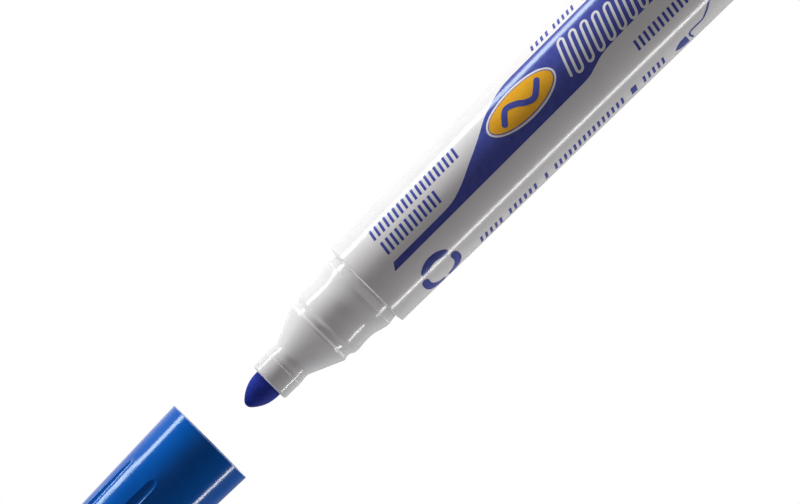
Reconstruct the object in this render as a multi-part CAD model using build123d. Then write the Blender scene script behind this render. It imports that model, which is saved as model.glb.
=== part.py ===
from build123d import *
import math
import os

os.makedirs("parts", exist_ok=True)

# Felt tip whiteboard marker, uncapped, lying on a table with its cap in line in front of the nib.
# Millimetres. The axis lies along X: the cap is towards -X, the barrel's closed end towards +X.
# The table is z = 0, and x = 0 is half way between the cap's end and the rear boss's end.
# Every outline below is turned about the axis, and gives each corner as (station, radius, rounding),
# where station is the distance behind the tip of the nib.

# ---- driving dimensions ----
NIB_RADIUS = 2.36
NIB_OGIVE_RADIUS = 5.7
NIB_TIP_RADIUS = 0.97
NIB_LENGTH = 38.0
NIB_TAIL = 1.2

COLLAR_FRONT = 4.7
COLLAR_RADIUS = 3.32
COLLAR_LENGTH = 3.0
NECK_END = 9.6
NECK_RADIUS = 3.22
NIB_BORE_RADIUS = 2.6
NIB_BORE_LENGTH = 8.3
NIB_RIBS = 6
NIB_RIB_WIDTH = 0.9
NIB_GRIP = 0.02

CONE_END = 14.9
CONE_RADIUS = 5.53
RING_RADIUS = 5.37
SHOULDER = 17.4
SHOULDER_RADIUS = 5.88
WAIST = 19.3
WAIST_RADIUS = 5.71
SEAL_LIP = 23.4
SEAL_LIP_RADIUS = 6.44
SPIGOT_END = 33.0
SPIGOT_RADIUS = 6.15
SPIGOT_BORE = 5.05

BARREL_FRONT = 24.85
BARREL_REAR = 115.0
BARREL_RADIUS = 7.39
BARREL_DRAFT = 1.0
BARREL_WALL = 1.1
BARREL_MOUTH_RADIUS = 6.2
FRONT_RAKE = 0.25
BARREL_RIBS = 6
BARREL_RIB_WIDTH = 1.0

RESERVOIR_RADIUS = 5.65
RESERVOIR_LENGTH = 72.0
WRAP_WALL = 0.12
WRAP_INSET = 0.5
RIB_CLEARANCE = 0.08

PLUG_FLANGE = 3.5
PLUG_SPIGOT = 8.0
PLUG_WALL = 1.1
BOSS_RADIUS = 6.1
BOSS_LENGTH = 7.5
BOSS_WALL = 1.35
PUSHER_WIDTH = 9.0
PUSHER_THICKNESS = 1.1
PRESS = 0.05

CAP_GAP = 7.5
CAP_LENGTH = 36.0
CAP_RADIUS = 7.48
CAP_DRAFT = 1.75
CAP_BORE = 6.55
CAP_RIDGE_RADIUS = 6.2
CAP_END_WALL = 1.5
LINER_SEAT = 17.3
LINER_SEAT_RADIUS = 4.95
LINER_FLANGE_RADIUS = 5.35
LINER_FLANGE = 1.2
LINER_BORE = 3.48
LINER_WALL = 0.8
LINER_LENGTH = 12.2
RUNNING = 0.05

FLUTES = 8
FLUTE_FIRST_ANGLE = 13.0
FLUTE_START = 9.6
FLUTE_RADIUS = 1.2
FLUTE_DEPTH = 0.24
FLUTE_RUN = 1.7
FLUTE_FALL = 1.2
FLUTE_EDGE = 0.1

# ---- worked out from them ----
BARREL_EDGE = BARREL_FRONT + FRONT_RAKE
BARREL_SLOPE = math.tan(math.radians(BARREL_DRAFT))
BARREL_REAR_RADIUS = BARREL_RADIUS + (BARREL_REAR - BARREL_EDGE) * BARREL_SLOPE
BARREL_REAR_BORE = BARREL_REAR_RADIUS - BARREL_WALL
RESERVOIR_FRONT = SPIGOT_END
RESERVOIR_REAR = RESERVOIR_FRONT + RESERVOIR_LENGTH
FLANGE_REAR = BARREL_REAR + PLUG_FLANGE
BOSS_REAR = FLANGE_REAR + BOSS_LENGTH
CAP_MOUTH = -CAP_GAP
CAP_END = CAP_MOUTH - CAP_LENGTH
CAP_SLOPE = math.tan(math.radians(CAP_DRAFT))
CAP_END_RADIUS = CAP_RADIUS - CAP_LENGTH * CAP_SLOPE
NIB_TIP_X = -(CAP_END + BOSS_REAR) / 2
AXIS_HEIGHT = BARREL_REAR_RADIUS


def turned(*corners):
    """Turn a closed outline of (station, radius, rounding) corners about the axis."""
    points = [(station, radius) for station, radius, _ in corners]
    roundings = [rounding for _, _, rounding in corners]
    outline = FilletPolyline(*points, radius=roundings, close=True)
    return revolve(make_face(outline.edges()), Axis.X)


def around(shape, count, first_angle=0.0):
    """Copies of a shape, evenly spaced round the axis."""
    step = 360 / count
    return [Rot(first_angle + i * step, 0, 0) * shape for i in range(count)]


def rib(front, rear, inner, outer, width):
    """A straight bar from the inner to the outer radius, above the axis."""
    bar = Box(rear - front, width, outer - inner)
    return Pos((front + rear) / 2, 0, (inner + outer) / 2) * bar


def placed(shape):
    """Move a shape from the axis, with the nib's tip at zero, to where it lies on the table."""
    return Pos(NIB_TIP_X, 0, AXIS_HEIGHT) * shape


def nib():
    """Fibre rod with a round-tipped ogive point and a short tapered tail."""
    drop = NIB_RADIUS - NIB_OGIVE_RADIUS
    reach = math.sqrt((NIB_OGIVE_RADIUS - NIB_TIP_RADIUS) ** 2 - drop**2)
    tip_centre = Vector(NIB_TIP_RADIUS, 0)
    ogive_centre = Vector(NIB_TIP_RADIUS + reach, drop)
    blend_way = (tip_centre - ogive_centre).normalized()
    shank = Vector(ogive_centre.X, NIB_RADIUS)
    rise = math.degrees(math.atan2(blend_way.Y, blend_way.X))
    tip_arc = CenterArc(tip_centre, NIB_TIP_RADIUS, 180, rise - 180)
    ogive_arc = CenterArc(ogive_centre, NIB_OGIVE_RADIUS, rise, 90 - rise)
    tail = Polyline(
        shank,
        (NIB_LENGTH - NIB_TAIL, NIB_RADIUS),
        (NIB_LENGTH, NIB_RADIUS - NIB_TAIL),
        (NIB_LENGTH, 0),
        (0, 0),
    )
    outline = [tip_arc, ogive_arc, *tail.edges()]
    return revolve(make_face(outline), Axis.X)


def nose_section():
    """White nib holder: collar, cone, shoulder, sealing lip, and a spigot pressed into the barrel."""
    collar_rear = COLLAR_FRONT + COLLAR_LENGTH
    bore_rear = COLLAR_FRONT + NIB_BORE_LENGTH
    body = turned(
        (COLLAR_FRONT, NIB_BORE_RADIUS, 0.15),
        (COLLAR_FRONT, COLLAR_RADIUS, 0.4),
        (collar_rear, COLLAR_RADIUS + 0.05, 0.04),
        (collar_rear + 0.12, COLLAR_RADIUS, 0.04),
        (collar_rear + 0.55, COLLAR_RADIUS + 0.01, 1.0),
        (collar_rear + 1.3, NECK_RADIUS + 0.01, 1.0),
        (NECK_END, NECK_RADIUS, 0.8),
        (CONE_END, CONE_RADIUS, 0.1),
        (CONE_END + 0.2, CONE_RADIUS, 0.08),
        (CONE_END + 0.6, RING_RADIUS, 0.25),
        (SHOULDER - 1.25, RING_RADIUS + 0.02, 0.25),
        (SHOULDER - 0.6, SHOULDER_RADIUS - 0.1, 0.3),
        (SHOULDER, SHOULDER_RADIUS, 1.0),
        (SHOULDER + 1.2, SHOULDER_RADIUS - 0.11, 2.0),
        (WAIST, WAIST_RADIUS, 3.0),
        (WAIST + 0.9, WAIST_RADIUS + 0.04, 3.0),
        (WAIST + 1.5, WAIST_RADIUS + 0.1, 2.0),
        (SEAL_LIP - 0.7, SEAL_LIP_RADIUS - 0.11, 1.0),
        (SEAL_LIP, SEAL_LIP_RADIUS, 0.06),
        (SEAL_LIP + 0.1, SEAL_LIP_RADIUS - 0.08, 0.05),
        (SEAL_LIP + 0.8, SEAL_LIP_RADIUS - 0.18, 0.5),
        (BARREL_FRONT, SPIGOT_RADIUS + 0.03, 0),
        (BARREL_EDGE, SPIGOT_RADIUS, 0),
        (BARREL_FRONT + 2.6, SPIGOT_RADIUS, 0),
        (BARREL_FRONT + 3.2, BARREL_MOUTH_RADIUS + PRESS, 0.3),
        (BARREL_FRONT + 4.2, BARREL_MOUTH_RADIUS + PRESS, 0.3),
        (BARREL_FRONT + 4.8, SPIGOT_RADIUS, 0),
        (SPIGOT_END, SPIGOT_RADIUS, 0.4),
        (SPIGOT_END, SPIGOT_BORE, 0.2),
        (SHOULDER + 0.45, SPIGOT_BORE - 0.4, 2.0),
        (bore_rear + 1.2, SPIGOT_BORE - 0.75, 0.5),
        (bore_rear, NIB_BORE_RADIUS, 0.3),
    )
    grip = rib(
        COLLAR_FRONT + 0.6,
        bore_rear - 0.3,
        NIB_RADIUS - NIB_GRIP,
        NIB_BORE_RADIUS + 0.2,
        NIB_RIB_WIDTH,
    )
    return body + around(grip, NIB_RIBS)


def barrel():
    """White tapered tube, with ribs inside that centre the reservoir."""
    shell = turned(
        (BARREL_FRONT, BARREL_MOUTH_RADIUS, 0.05),
        (BARREL_EDGE, BARREL_RADIUS, 0.15),
        (BARREL_REAR, BARREL_REAR_RADIUS, 0.12),
        (BARREL_REAR, BARREL_REAR_BORE, 0.15),
        (BARREL_REAR - PLUG_SPIGOT - 0.5, BARREL_REAR_BORE - 0.05, 0.1),
        (SPIGOT_END + 1.0, BARREL_MOUTH_RADIUS + 0.15, 2.0),
        (SPIGOT_END, BARREL_MOUTH_RADIUS, 0.5),
    )
    rib_front = RESERVOIR_FRONT + 3.0
    rib_rear = BARREL_REAR - PLUG_SPIGOT - 1.5
    rib_inner = RESERVOIR_RADIUS + WRAP_WALL + RIB_CLEARANCE
    bar = rib(rib_front, rib_rear, rib_inner, BARREL_REAR_RADIUS, BARREL_RIB_WIDTH)
    room = turned(
        (rib_front, 0, 0),
        (rib_front, BARREL_RADIUS - 0.3, 0),
        (rib_rear, BARREL_REAR_RADIUS - 0.5, 0),
        (rib_rear, 0, 0),
    )
    return shell + [bar & room for bar in around(bar, BARREL_RIBS)]


def ink_reservoir():
    """Round fibre core, with the hole that the nib's tail is pushed into."""
    core = turned(
        (RESERVOIR_FRONT, 0, 0),
        (RESERVOIR_FRONT, RESERVOIR_RADIUS, 0.3),
        (RESERVOIR_REAR, RESERVOIR_RADIUS, 0.3),
        (RESERVOIR_REAR, 0, 0),
    )
    hole_radius = NIB_RADIUS - PRESS
    hole = turned(
        (RESERVOIR_FRONT, 0, 0),
        (RESERVOIR_FRONT, hole_radius, 0),
        (NIB_LENGTH - NIB_TAIL, hole_radius, 0),
        (NIB_LENGTH + 0.2, hole_radius - NIB_TAIL, 0),
        (NIB_LENGTH + 0.2, 0, 0),
    )
    return core - hole


def reservoir_wrap():
    """Plastic film sleeve round the fibre core, open at both ends."""
    front = RESERVOIR_FRONT + WRAP_INSET
    rear = RESERVOIR_REAR - WRAP_INSET
    outer = RESERVOIR_RADIUS + WRAP_WALL
    return turned(
        (front, RESERVOIR_RADIUS, 0),
        (front, outer, 0),
        (rear, outer, 0),
        (rear, RESERVOIR_RADIUS, 0),
    )


def end_plug():
    """Blue rear plug: spigot, flange flush with the barrel, and a boss that the cap pushes onto."""
    spigot_front = BARREL_REAR - PLUG_SPIGOT
    spigot_radius = BARREL_REAR_BORE - 0.08
    press_radius = BARREL_REAR_BORE + PRESS
    flange_radius = BARREL_REAR_RADIUS
    bore_radius = spigot_radius - PLUG_WALL
    boss_bore = BOSS_RADIUS - BOSS_WALL
    body = turned(
        (spigot_front, bore_radius, 0.2),
        (spigot_front, spigot_radius - 0.1, 0.4),
        (BARREL_REAR - 4.6, spigot_radius, 0),
        (BARREL_REAR - 4.0, press_radius, 0.3),
        (BARREL_REAR - 3.0, press_radius, 0.3),
        (BARREL_REAR - 2.4, spigot_radius, 0),
        (BARREL_REAR, spigot_radius, 0),
        (BARREL_REAR, flange_radius, 0.12),
        (BARREL_REAR + 1.6, flange_radius - 0.02, 6.0),
        (FLANGE_REAR, flange_radius - 0.6, 0.5),
        (FLANGE_REAR, BOSS_RADIUS, 0.25),
        (BOSS_REAR, BOSS_RADIUS, 0.6),
        (BOSS_REAR, 0, 0),
        (BOSS_REAR - BOSS_WALL, 0, 0),
        (BOSS_REAR - BOSS_WALL, boss_bore, 0.4),
        (FLANGE_REAR - 1.3, boss_bore, 0.5),
        (FLANGE_REAR - 2.0, bore_radius - 0.3, 0.5),
    )
    pusher = Box(BOSS_REAR - BOSS_WALL - RESERVOIR_REAR, PUSHER_WIDTH, PUSHER_THICKNESS)
    pusher = Pos((BOSS_REAR - BOSS_WALL + RESERVOIR_REAR) / 2, 0, 0) * pusher
    return body + pusher + Rot(90, 0, 0) * pusher


def at_depth(depth):
    """The station at a depth into the cap from its mouth."""
    return CAP_MOUTH - depth


def flute():
    """Cutter for one grip groove: a round bar that dips into the cap, then runs along it ever deeper."""
    sink_radius = FLUTE_RUN**2 / (2 * FLUTE_DEPTH)
    sink_angle = math.degrees(FLUTE_RUN / sink_radius)
    level = FLUTE_RADIUS - FLUTE_DEPTH
    section = Plane(origin=(FLUTE_RUN, level, 0), z_dir=(1, 0, 0)) * Circle(FLUTE_RADIUS)
    pivot = Axis((FLUTE_RUN, level + sink_radius, 0), (0, 0, -1))
    sinking = revolve(section, pivot, 1.4 * sink_angle)
    level_run = extrude(section, CAP_LENGTH + 5.0 - FLUTE_START)
    start = Pos(FLUTE_START, CAP_RADIUS - FLUTE_START * CAP_SLOPE, 0)
    falling = start * Rot(0, 0, -CAP_DRAFT - FLUTE_FALL) * (sinking + level_run)
    return Pos(CAP_MOUTH, 0, 0) * mirror(falling, Plane.YZ)


def cap_shell():
    """Blue cap: tapered and fluted outside; inside, a bore, a ridge for the rear boss and the liner's seat."""
    seat = LINER_SEAT
    shell = turned(
        (at_depth(0), CAP_BORE + 0.22, 0.08),
        (at_depth(0), CAP_RADIUS, 0.1),
        (at_depth(CAP_LENGTH), CAP_END_RADIUS, 1.3),
        (at_depth(CAP_LENGTH), 0, 0),
        (at_depth(CAP_LENGTH - CAP_END_WALL), 0, 0),
        (at_depth(CAP_LENGTH - CAP_END_WALL), LINER_SEAT_RADIUS - 0.35, 0.6),
        (at_depth(seat + LINER_LENGTH), LINER_SEAT_RADIUS - 0.2, 2.0),
        (at_depth(seat), LINER_SEAT_RADIUS, 0),
        (at_depth(seat), LINER_FLANGE_RADIUS + RUNNING, 0),
        (at_depth(seat - LINER_FLANGE - 2 * RUNNING), LINER_FLANGE_RADIUS + RUNNING, 0),
        (at_depth(seat - LINER_FLANGE - 0.35), LINER_FLANGE_RADIUS - 0.15, 0.15),
        (at_depth(seat - LINER_FLANGE - 0.8), LINER_FLANGE_RADIUS - 0.15, 0.2),
        (at_depth(seat - LINER_FLANGE - 2.2), LINER_FLANGE_RADIUS + 0.3, 0.6),
        (at_depth(11.2), 5.9, 1.0),
        (at_depth(9.4), 6.25, 1.0),
        (at_depth(5.6), 6.35, 0.5),
        (at_depth(4.4), CAP_RIDGE_RADIUS, 0.4),
        (at_depth(3.2), CAP_RIDGE_RADIUS, 0.4),
        (at_depth(2.3), CAP_BORE - 0.02, 0.5),
        (at_depth(0.4), CAP_BORE, 0.2),
    )
    fluted = shell - around(flute(), FLUTES, 90 - FLUTE_FIRST_ANGLE)
    rims = new_edges(shell, combined=fluted)
    return fillet(rims, FLUTE_EDGE)


def cap_liner():
    """Soft inner cup that closes round the collar and keeps the nib from drying."""
    seat = LINER_SEAT
    front = seat - LINER_FLANGE - RUNNING
    end = seat + LINER_LENGTH - 1.2
    outer = LINER_BORE + LINER_WALL
    return turned(
        (at_depth(front), LINER_BORE + 0.75, 0.15),
        (at_depth(front), LINER_FLANGE_RADIUS, 0.1),
        (at_depth(seat - RUNNING), LINER_FLANGE_RADIUS, 0.1),
        (at_depth(seat - RUNNING), LINER_SEAT_RADIUS - RUNNING, 0),
        (at_depth(seat + 2.0), LINER_SEAT_RADIUS - 0.1, 0.5),
        (at_depth(seat + 3.2), outer + 0.1, 0.8),
        (at_depth(end), outer, 0.8),
        (at_depth(end), 0, 0),
        (at_depth(end - 1.0), 0, 0),
        (at_depth(end - 1.0), LINER_BORE, 0.8),
        (at_depth(seat), LINER_BORE, 0.3),
    )


PIECES = {
    "nib": nib,
    "nose_section": nose_section,
    "barrel": barrel,
    "ink_reservoir": ink_reservoir,
    "reservoir_wrap": reservoir_wrap,
    "end_plug": end_plug,
    "cap_shell": cap_shell,
    "cap_liner": cap_liner,
}

for name, make in PIECES.items():
    export_step(placed(make()), f"parts/{name}.step")
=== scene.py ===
import math

import bmesh
import bpy
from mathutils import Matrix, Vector

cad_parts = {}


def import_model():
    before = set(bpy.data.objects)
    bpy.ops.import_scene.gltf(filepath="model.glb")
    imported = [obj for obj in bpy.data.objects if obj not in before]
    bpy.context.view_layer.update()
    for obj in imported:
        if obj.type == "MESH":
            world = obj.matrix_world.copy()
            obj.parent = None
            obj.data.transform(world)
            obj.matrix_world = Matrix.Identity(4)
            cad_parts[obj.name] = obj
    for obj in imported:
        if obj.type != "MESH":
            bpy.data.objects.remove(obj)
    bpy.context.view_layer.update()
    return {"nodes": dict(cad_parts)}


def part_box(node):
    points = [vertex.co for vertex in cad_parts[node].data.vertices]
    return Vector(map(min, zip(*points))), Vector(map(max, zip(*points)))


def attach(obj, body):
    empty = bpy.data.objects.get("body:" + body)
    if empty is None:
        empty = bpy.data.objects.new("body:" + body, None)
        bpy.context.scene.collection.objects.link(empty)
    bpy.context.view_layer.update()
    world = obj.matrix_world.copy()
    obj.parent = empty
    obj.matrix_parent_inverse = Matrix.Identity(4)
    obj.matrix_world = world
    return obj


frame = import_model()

MM = 0.001

# ---- places taken from the frame ----
nib_low, nib_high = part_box("nib")
barrel_low, barrel_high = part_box("barrel")
TIP_X = nib_low.x
AXIS_Z = (nib_low.z + nib_high.z) / 2
BARREL_REAR = barrel_high.x - TIP_X
REAR_RADIUS = (barrel_high.y - barrel_low.y) / 2
BARREL_SLOPE = math.tan(math.radians(1.0))

# ---- camera and stage ----
LENS = 1000
SENSOR_WIDTH = 36
VIEW_WIDTH = 117.6 * MM
VIEW_CENTRE = (31.93 * MM, -0.04 * MM)
CAMERA_ROLL = -45
FLOOR_HALF_WIDTH = 6.0
FLOOR_DROP = 0.0002
FLOOR_TONES_HALF_WIDTH = 0.05
FLOOR_STRENGTH = 3.0
WHITE_ON_CAMERA = 1.05


# ---------------------------------------------------------------- node helpers
class Nodes:
    """The node tree of a material or a world, with short calls to add and join nodes."""

    def __init__(self, owner):
        owner.use_nodes = True
        self.owner = owner
        self.tree = owner.node_tree
        self.shader = self.tree.nodes.get("Principled BSDF")

    def add(self, kind, **values):
        node = self.tree.nodes.new(kind)
        for key, value in values.items():
            if key in node.inputs:
                node.inputs[key].default_value = value
            else:
                setattr(node, key, value)
        return node

    def join(self, source, target):
        self.tree.links.new(source, target)

    def place(self, scale=(1, 1, 1)):
        """Object coordinates, stretched by scale."""
        coords = self.add("ShaderNodeTexCoord")
        mapping = self.add("ShaderNodeMapping")
        mapping.inputs["Scale"].default_value = scale
        self.join(coords.outputs["Object"], mapping.inputs["Vector"])
        return mapping.outputs["Vector"]

    def noise(self, vector, scale, detail=3.0, roughness=0.5):
        node = self.add("ShaderNodeTexNoise", Scale=scale, Detail=detail, Roughness=roughness)
        self.join(vector, node.inputs["Vector"])
        return node.outputs["Fac"]

    def ramp(self, value, *stops):
        """Colour ramp with (position, colour) stops."""
        node = self.add("ShaderNodeValToRGB")
        elements = node.color_ramp.elements
        while len(elements) < len(stops):
            elements.new(0.5)
        for element, (position, colour) in zip(elements, stops):
            element.position = position
            element.color = (*colour, 1)
        self.join(value, node.inputs["Fac"])
        return node.outputs["Color"]

    def spread(self, value, low, high):
        """Map a 0..1 value onto low..high."""
        node = self.add("ShaderNodeMapRange")
        node.inputs["To Min"].default_value = low
        node.inputs["To Max"].default_value = high
        self.join(value, node.inputs["Value"])
        return node.outputs["Result"]

    def bump(self, height, distance, strength=1.0, below=None):
        node = self.add("ShaderNodeBump", Distance=distance, Strength=strength)
        self.join(height, node.inputs["Height"])
        if below is not None:
            self.join(below, node.inputs["Normal"])
        return node.outputs["Normal"]


def grey(level):
    """A neutral colour."""
    return (level, level, level)


def moulded_plastic(name, dark, light, roughness):
    """Glossy injection-moulded plastic: faint colour mottling, flow waves and handling haze."""
    n = Nodes(bpy.data.materials.new(name))
    place = n.place((1, 1, 1))
    along = n.place((0.25, 1, 1))
    n.join(n.ramp(n.noise(place, 180.0), (0.3, dark), (0.7, light)), n.shader.inputs["Base Color"])
    haze = n.noise(place, 120.0, 2.0)
    n.join(n.spread(haze, roughness * 0.85, roughness * 1.15), n.shader.inputs["Roughness"])
    n.join(n.bump(n.noise(along, 160.0, 2.0), 0.0000015), n.shader.inputs["Normal"])
    n.shader.inputs["IOR"].default_value = 1.5
    return n.owner


def fibre(name, dark, light):
    """Pressed fibre soaked in ink: fine strands along the axis, with wetter, glossier patches."""
    n = Nodes(bpy.data.materials.new(name))
    strands = n.place((0.12, 1, 1))
    patches = n.place((1, 1, 1))
    line = n.noise(strands, 5200.0, 3.0, 0.6)
    patch = n.noise(patches, 420.0, 3.0)
    n.join(n.ramp(line, (0.3, dark), (0.72, light)), n.shader.inputs["Base Color"])
    n.join(n.spread(patch, 0.68, 0.85), n.shader.inputs["Roughness"])
    n.join(n.bump(line, 0.00003, 0.6), n.shader.inputs["Normal"])
    n.shader.inputs["IOR"].default_value = 1.4
    n.shader.inputs["Specular IOR Level"].default_value = 0.25
    return n.owner


def printed_ink(name, dark, light):
    """Thin screen-printed ink with slightly uneven cover."""
    n = Nodes(bpy.data.materials.new(name))
    place = n.place((1, 1, 1))
    cover = n.noise(place, 900.0, 4.0, 0.6)
    n.join(n.ramp(cover, (0.35, dark), (0.7, light)), n.shader.inputs["Base Color"])
    n.join(n.spread(n.noise(place, 1500.0, 3.0), 0.12, 0.21), n.shader.inputs["Roughness"])
    n.join(n.bump(n.noise(place, 2500.0, 2.0), 0.0000003), n.shader.inputs["Normal"])
    n.shader.inputs["IOR"].default_value = 1.55
    return n.owner


def clear_film(name):
    """Thin clear plastic film."""
    n = Nodes(bpy.data.materials.new(name))
    place = n.place((0.3, 1, 1))
    tint = n.ramp(n.noise(place, 300.0), (0.3, (0.80, 0.83, 0.87)), (0.7, (0.88, 0.90, 0.93)))
    n.join(tint, n.shader.inputs["Base Color"])
    n.join(n.spread(n.noise(place, 900.0), 0.12, 0.3), n.shader.inputs["Roughness"])
    n.shader.inputs["Transmission Weight"].default_value = 0.5
    return n.owner


WHITE = moulded_plastic("white_plastic", (0.83, 0.825, 0.835), (0.87, 0.865, 0.87), 0.17)
NOSE_WHITE = moulded_plastic("nose_plastic", (0.84, 0.84, 0.85), (0.88, 0.88, 0.885), 0.17)
BLUE = moulded_plastic("blue_plastic", (0.0, 0.104, 0.48), (0.001, 0.118, 0.53), 0.15)
LINER = moulded_plastic("liner_plastic", (0.74, 0.77, 0.79), (0.80, 0.82, 0.84), 0.35)
NIB = fibre("nib_fibre", (0.010, 0.022, 0.22), (0.030, 0.055, 0.48))
RESERVOIR = fibre("reservoir_fibre", (0.02, 0.04, 0.28), (0.07, 0.11, 0.50))
FILM = clear_film("film")
PRINT_BLUE = printed_ink("print_blue", (0.066, 0.084, 0.38), (0.086, 0.110, 0.46))
PRINT_WHITE = printed_ink("print_white", (0.84, 0.84, 0.86), (0.90, 0.90, 0.91))
PRINT_AMBER = printed_ink("print_amber", (0.96, 0.46, 0.025), (1.0, 0.54, 0.035))

NODE_MATERIALS = {
    "cap_shell": BLUE,
    "cap_liner": LINER,
    "nib": NIB,
    "nose_section": NOSE_WHITE,
    "barrel": WHITE,
    "ink_reservoir": RESERVOIR,
    "reservoir_wrap": FILM,
    "end_plug": BLUE,
}
for node, material in NODE_MATERIALS.items():
    mesh = frame["nodes"][node].data
    mesh.materials.clear()
    mesh.materials.append(material)


# ---------------------------------------------------------------- printing
# Artwork is drawn flat in millimetres: x is the distance behind the nib's tip, and y the distance
# round the barrel from its top line, positive towards -Y. It is then wrapped on to the barrel.
# It is cut into strips that bend, and each layer of ink adds its cover and sinks into the one below.
STRIP = 0.4
COVER = 0.02
SINK = 0.02


def barrel_radius(x):
    """The barrel's radius at a station, in metres."""
    return REAR_RADIUS - (BARREL_REAR - x) * BARREL_SLOPE


def wrapped(x, y, lift):
    """(point, outward direction) on the barrel for artwork point x, y in millimetres."""
    radius = barrel_radius(x * MM)
    angle = y * MM / radius
    way = Vector((0, -math.sin(angle), math.cos(angle)))
    point = Vector((TIP_X + x * MM, 0, AXIS_Z)) + way * (radius + lift)
    return point, way


def print_piece(name, outlines, layer, material):
    """Wrap closed flat outlines, where an outline inside another is a hole, as a thin layer of ink."""
    bm = bmesh.new()
    for outline in outlines:
        corners = [bm.verts.new((x, y, 0)) for x, y in outline]
        for a, b in zip(corners, corners[1:] + corners[:1]):
            bm.edges.new((a, b))
    bmesh.ops.triangle_fill(bm, edges=bm.edges[:], use_beauty=True, normal=(0, 0, 1))
    low = min(v.co.y for v in bm.verts)
    high = max(v.co.y for v in bm.verts)
    cut = math.ceil(low / STRIP) * STRIP
    while cut < high:
        geometry = bm.verts[:] + bm.edges[:] + bm.faces[:]
        bmesh.ops.bisect_plane(bm, geom=geometry, dist=1e-5, plane_co=(0, cut, 0), plane_no=(0, 1, 0))
        cut += STRIP
    for face in bm.faces:
        if face.normal.z < 0:
            face.normal_flip()
    raised = bmesh.ops.extrude_face_region(bm, geom=bm.faces[:])["geom"]
    top = {v for v in raised if isinstance(v, bmesh.types.BMVert)}
    ways = {}
    for v in bm.verts:
        lift = (COVER * layer if v in top else COVER * (layer - 1) - SINK) * MM
        ways[v] = wrapped(v.co.x, v.co.y, lift)
    for v, (point, way) in ways.items():
        v.co = point
    bm.normal_update()
    bmesh.ops.recalc_face_normals(bm, faces=bm.faces)
    mesh = bpy.data.meshes.new(name)
    bm.verts.index_update()
    outward = {v.index: way for v, (point, way) in ways.items()}
    bm.to_mesh(mesh)
    bm.free()
    normals = []
    for polygon in mesh.polygons:
        polygon.use_smooth = True
        facing = polygon.normal.dot(outward[polygon.vertices[0]])
        for corner in polygon.vertices:
            if abs(facing) > 0.7:
                normals.append(outward[corner] * (1 if facing > 0 else -1))
            else:
                normals.append(polygon.normal.copy())
    mesh.normals_split_custom_set(normals)
    mesh.materials.append(material)
    piece = bpy.data.objects.new(name, mesh)
    bpy.context.scene.collection.objects.link(piece)
    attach(piece, "marker")
    return piece


def smooth_path(points, steps=8):
    """A smooth open line through the points (Catmull-Rom)."""
    ends = [points[0], *points, points[-1]]
    path = []
    for a, b, c, d in zip(ends, ends[1:], ends[2:], ends[3:]):
        for i in range(steps):
            t = i / steps
            path.append(tuple(
                0.5 * (2 * b[k] + (c[k] - a[k]) * t + (2 * a[k] - 5 * b[k] + 4 * c[k] - d[k]) * t**2
                       + (3 * b[k] - a[k] - 3 * c[k] + d[k]) * t**3)
                for k in (0, 1)
            ))
    return path + [points[-1]]


def stroke(path, width):
    """The outline of a pen stroke of even width along a path, with round ends."""
    left, right = [], []
    for i, (x, y) in enumerate(path):
        x0, y0 = path[max(i - 1, 0)]
        x1, y1 = path[min(i + 1, len(path) - 1)]
        long = math.hypot(x1 - x0, y1 - y0)
        nx, ny = -(y1 - y0) / long * width / 2, (x1 - x0) / long * width / 2
        left.append((x + nx, y + ny))
        right.append((x - nx, y - ny))
    tail = round_end(path[-2], path[-1], width)
    head = round_end(path[1], path[0], width)
    return left + tail + right[::-1] + head


def round_end(before, end, width, steps=6):
    """Points of the half circle that closes a stroke at its end, left to right."""
    heading = math.atan2(end[1] - before[1], end[0] - before[0])
    points = []
    for i in range(1, steps):
        turn = heading + math.pi / 2 - math.pi * i / steps
        points.append((end[0] + width / 2 * math.cos(turn), end[1] + width / 2 * math.sin(turn)))
    return points


def slanted(x, y0, y1, width, slant):
    """A slanted block: a parallelogram between y0 and y1."""
    return [(x, y1), (x + width, y1), (x + width + slant, y0), (x + slant, y0)]


def hatch(x0, x1, y0, y1, count):
    """A row of slanted blocks, in place of a word."""
    fill = 0.46
    slant = 0.3
    pitch = (x1 - x0 - slant) / (count - 1 + fill)
    return [slanted(x0 + i * pitch, y0, y1, pitch * fill, slant) for i in range(count)]


def words(y0, y1, *spans):
    """Rows of slanted blocks for several (start, end) words on one line."""
    block_pitch = 0.95
    blocks = []
    for x0, x1 in spans:
        blocks += hatch(x0, x1, y0, y1, max(1, round((x1 - x0) / block_pitch)))
    return blocks


def oval(cx, cy, rx, ry, steps=72):
    """A closed ellipse."""
    turns = [2 * math.pi * i / steps for i in range(steps)]
    return [(cx + rx * math.cos(a), cy + ry * math.sin(a)) for a in turns]


def arc_path(cx, cy, radius, start, end, steps=16):
    """Points along a circle between two angles in degrees."""
    turns = [math.radians(start + (end - start) * i / steps) for i in range(steps + 1)]
    return [(cx + radius * math.cos(a), cy + radius * math.sin(a)) for a in turns]


def scribble(x0, base, pitch, heights, slant, steps=8):
    """A pen scribble: slanted up and down strokes joined by round turns."""
    path = [(x0, base)]
    for i, height in enumerate(heights):
        x = x0 + i * pitch
        rising = i % 2 == 0
        y = base - height if rising else base
        for k in range(steps + 1):
            turn = math.pi * k / steps
            bulge = math.sin(turn) * pitch / 2 * (-1 if rising else 1)
            path.append((x + pitch / 2 - math.cos(turn) * pitch / 2, y + bulge))
    return [(x + slant * (base - y), y) for x, y in path]


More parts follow.
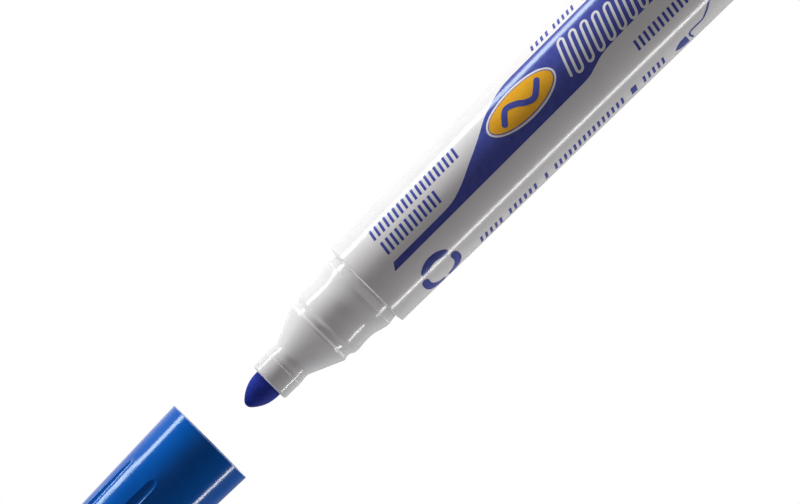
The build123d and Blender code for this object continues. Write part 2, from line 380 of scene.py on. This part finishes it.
def swoosh():
    """The blue field: a thin line from the nib end that sweeps up into a broad band."""
    lower = smooth_path([
        (68.1, 1.6), (69.9, 1.47), (71.1, 1.13), (72.5, 0.7), (73.7, 0.45), (76.0, 0.28), (84.3, 0.15),
    ])
    rear = smooth_path([
        (101.5, -0.6), (104.0, -2.6), (105.0, -4.6), (104.2, -6.4), (101.8, -7.6), (98.5, -7.85),
    ])
    upper = smooth_path([
        (61.5, -7.85), (59.8, -7.68), (57.8, -7.08), (55.4, -6.0), (54.0, -5.2), (52.4, -4.15),
        (50.25, -2.94), (48.3, -2.02), (45.8, -0.8), (43.4, 0.07), (41.9, 0.35), (40.0, 0.43),
    ])
    return [(29.4, 1.55)] + lower + [(98.0, 0.0)] + rear + [(64.0, -7.85)] + upper + [(30.2, 0.43)]


def badge_oval(margin):
    """The badge's oval, grown by a margin."""
    return oval(60.0, -3.0, 6.25 + margin, 2.45 + margin)


title = words(-5.95, -3.9, (30.4, 48.2)) + words(-3.0, -0.87, (30.4, 41.8))
badge_wave = smooth_path([(56.0, -2.3), (57.6, -3.9), (59.4, -3.3), (60.4, -2.5), (62.0, -2.1), (63.9, -3.7)])
scribble_path = scribble(68.0, -0.5, 1.12, [4.9 - 0.17 * i for i in range(22)], 0.36)
range_words = words(2.42, 4.17, (77.6, 96.0))
low_words = words(
    8.5, 10.4, (41.4, 46.1), (47.3, 53.2), (54.7, 55.5), (56.7, 71.1), (72.4, 73.8), (74.9, 79.5)
)
high_words = words(-10.2, -8.6, (66.4, 70.2), (71.0, 75.5), (77.0, 86.0))
ring = [stroke(arc_path(34.4, 7.4, 3.0, start, start + 84), 1.3) for start in (228, 348, 108)]
nib_mark = [(81.4, 10.0), (82.0, 9.3), (82.8, 8.9), (84.0, 8.8), (84.0, 11.2), (82.8, 11.1), (82.0, 10.7)]
pen_line = smooth_path([(84.8, 11.0), (84.8, 8.9), (87.4, 8.7), (88.6, 8.0), (90.6, 6.5), (94.0, 6.4)])

print_piece("print_band", [swoosh()], 1, PRINT_BLUE)
print_piece("print_title", title, 1, PRINT_BLUE)
print_piece("print_badge_edge", [badge_oval(0.5)], 2, PRINT_WHITE)
print_piece("print_badge_rim", [badge_oval(0.15)], 3, PRINT_BLUE)
print_piece("print_badge", [badge_oval(0.0)], 4, PRINT_AMBER)
print_piece("print_badge_mark", [stroke(badge_wave, 0.95)], 5, PRINT_BLUE)
print_piece("print_scribble", [stroke(scribble_path, 0.42)], 2, PRINT_WHITE)
print_piece("print_range", range_words, 1, PRINT_BLUE)
print_piece("print_note_low", low_words, 1, PRINT_BLUE)
print_piece("print_note_high", high_words, 1, PRINT_BLUE)
print_piece("print_ring", ring, 1, PRINT_BLUE)
print_piece("print_pen_mark", [nib_mark, stroke(pen_line, 0.35)], 1, PRINT_BLUE)


# ---------------------------------------------------------------- stage, light and camera
def seen_level(tree, camera_level, glossy_level, diffuse_level):
    """A brightness that depends on the kind of ray that meets it. The levels are numbers or sockets."""
    path = tree.nodes.new("ShaderNodeLightPath")
    glossy = tree.nodes.new("ShaderNodeMapRange")
    seen = tree.nodes.new("ShaderNodeMapRange")
    for node, end, level in (
        (glossy, "To Min", diffuse_level),
        (glossy, "To Max", glossy_level),
        (seen, "To Max", camera_level),
        (seen, "To Min", glossy.outputs["Result"]),
    ):
        if isinstance(level, (int, float)):
            node.inputs[end].default_value = level
        else:
            tree.links.new(level, node.inputs[end])
    tree.links.new(path.outputs["Is Glossy Ray"], glossy.inputs["Value"])
    tree.links.new(path.outputs["Is Camera Ray"], seen.inputs["Value"])
    return seen.outputs["Result"]


def material_floor():
    """Backlit white sheet: plain white to the camera, and as a source of light uneven from side to side."""
    n = Nodes(bpy.data.materials.new("pale_floor"))
    n.shader.inputs["Base Color"].default_value = (0, 0, 0, 1)
    n.shader.inputs["Specular IOR Level"].default_value = 0
    n.shader.inputs["Emission Color"].default_value = (1, 1, 1, 1)
    across = n.add("ShaderNodeSeparateXYZ")
    n.join(n.place(), across.inputs["Vector"])
    reach = FLOOR_TONES_HALF_WIDTH
    side = n.add("ShaderNodeMapRange", **{"From Min": -reach, "From Max": reach})
    n.join(across.outputs["Y"], side.inputs["Value"])
    tones = n.ramp(
        side.outputs["Result"],
        (0.44, grey(0.48)),
        (0.54, grey(0.05)),
        (0.76, grey(0.1)),
        (0.9, grey(0.55)),
    )
    scattered = n.spread(tones, 0.0, FLOOR_STRENGTH)
    n.join(seen_level(n.tree, 1.0, 0.0, scattered), n.shader.inputs["Emission Strength"])
    return n.owner


def floor():
    """The sheet that the marker lies on, a hair below it, left out of mirror-like reflections."""
    mesh = bpy.data.meshes.new("floor")
    s = FLOOR_HALF_WIDTH
    mesh.from_pydata([(-s, -s, 0), (s, -s, 0), (s, s, 0), (-s, s, 0)], [], [(0, 1, 2, 3)])
    mesh.materials.append(material_floor())
    obj = bpy.data.objects.new("floor", mesh)
    obj.location.z = -FLOOR_DROP
    obj.visible_glossy = False
    bpy.context.scene.collection.objects.link(obj)


def softbox(name, near, far, ends, radiance, diffuse=True, glossy=True, colour=(1, 1, 1)):
    """A long soft light parallel to the marker.

    It spans from near to far in the (y, z) plane and between two ends in x. At y < 0, near is the lower edge.
    """
    light = bpy.data.lights.new(name, "AREA")
    light.shape = "RECTANGLE"
    light.color = colour
    rise = Vector((0, far[0] - near[0], far[1] - near[1]))
    light.size = ends[1] - ends[0]
    light.size_y = rise.length
    light.energy = radiance * math.pi * light.size * light.size_y
    obj = bpy.data.objects.new(name, light)
    obj.location = ((ends[0] + ends[1]) / 2, (near[0] + far[0]) / 2, (near[1] + far[1]) / 2)
    facing = Vector((0, -rise.z, rise.y)) if near[0] > 0 else Vector((0, rise.z, -rise.y))
    obj.rotation_mode = "QUATERNION"
    obj.rotation_quaternion = (-facing).to_track_quat("Z", "Y")
    obj.visible_camera = False
    obj.visible_diffuse = diffuse
    obj.visible_glossy = glossy
    bpy.context.scene.collection.objects.link(obj)
    return obj


def world(dim, ambient, end_glow):
    """Dim studio, which the camera sees as plain white.

    Reflections show pale panels below the marker, and a glow past its rear end.
    """
    scene_world = bpy.data.worlds.new("studio")
    bpy.context.scene.world = scene_world
    n = Nodes(scene_world)
    background = n.tree.nodes["Background"]
    background.inputs["Color"].default_value = (1.03, 0.985, 0.985, 1)
    way = n.add("ShaderNodeSeparateXYZ")
    n.join(n.add("ShaderNodeTexCoord").outputs["Generated"], way.inputs["Vector"])
    down = n.add("ShaderNodeMapRange", **{"From Min": -1.0, "From Max": 0.0})
    left = n.add("ShaderNodeMapRange", **{"From Min": -0.1, "From Max": 0.1, "To Min": 0.3})
    rear = n.add("ShaderNodeMapRange", **{"From Min": 0.22, "From Max": 0.38, "To Max": end_glow})
    n.join(way.outputs["Z"], down.inputs["Value"])
    n.join(way.outputs["Y"], left.inputs["Value"])
    n.join(way.outputs["X"], rear.inputs["Value"])
    below = n.ramp(
        down.outputs["Result"],
        (0.0, grey(1.0)),
        (0.2, grey(0.7)),
        (0.5, grey(0.35)),
        (0.97, grey(0.4)),
        (1.0, grey(dim)),
    )
    panels = n.add("ShaderNodeMath", operation="MULTIPLY")
    n.join(below, panels.inputs[0])
    n.join(left.outputs["Result"], panels.inputs[1])
    reflected = n.add("ShaderNodeMath", operation="ADD")
    n.join(panels.outputs["Value"], reflected.inputs[0])
    n.join(rear.outputs["Result"], reflected.inputs[1])
    strength = seen_level(n.tree, WHITE_ON_CAMERA, reflected.outputs["Value"], ambient)
    n.join(strength, background.inputs["Strength"])


def camera():
    """Long lens straight above, rolled so that the marker lies at 45 degrees across the picture."""
    data = bpy.data.cameras.new("camera")
    data.lens = LENS
    data.sensor_width = SENSOR_WIDTH
    data.clip_end = 10
    distance = VIEW_WIDTH * LENS / SENSOR_WIDTH
    along, aside = VIEW_CENTRE
    obj = bpy.data.objects.new("camera", data)
    obj.location = (TIP_X + along, aside, AXIS_Z + distance)
    obj.rotation_euler = (0, 0, math.radians(CAMERA_ROLL))
    bpy.context.scene.collection.objects.link(obj)
    bpy.context.scene.camera = obj


floor()
world(dim=0.05, ambient=0.22, end_glow=2.6)
softbox("fill_left", (0.070, 0.0005), (0.60, 0.035), (-1.0, 1.0), 7.5, glossy=False)
softbox("key_left", (1.5, -0.25), (1.5, 0.055), (-0.62, 0.6), 11.5, diffuse=False, colour=(0.88, 1.05, 1.03))
softbox("rim_right", (-0.55, 0.030), (-0.55, 0.082), (-0.15, 0.33), 17.0, diffuse=False)
camera()

bpy.context.scene.view_settings.view_transform = "Standard"
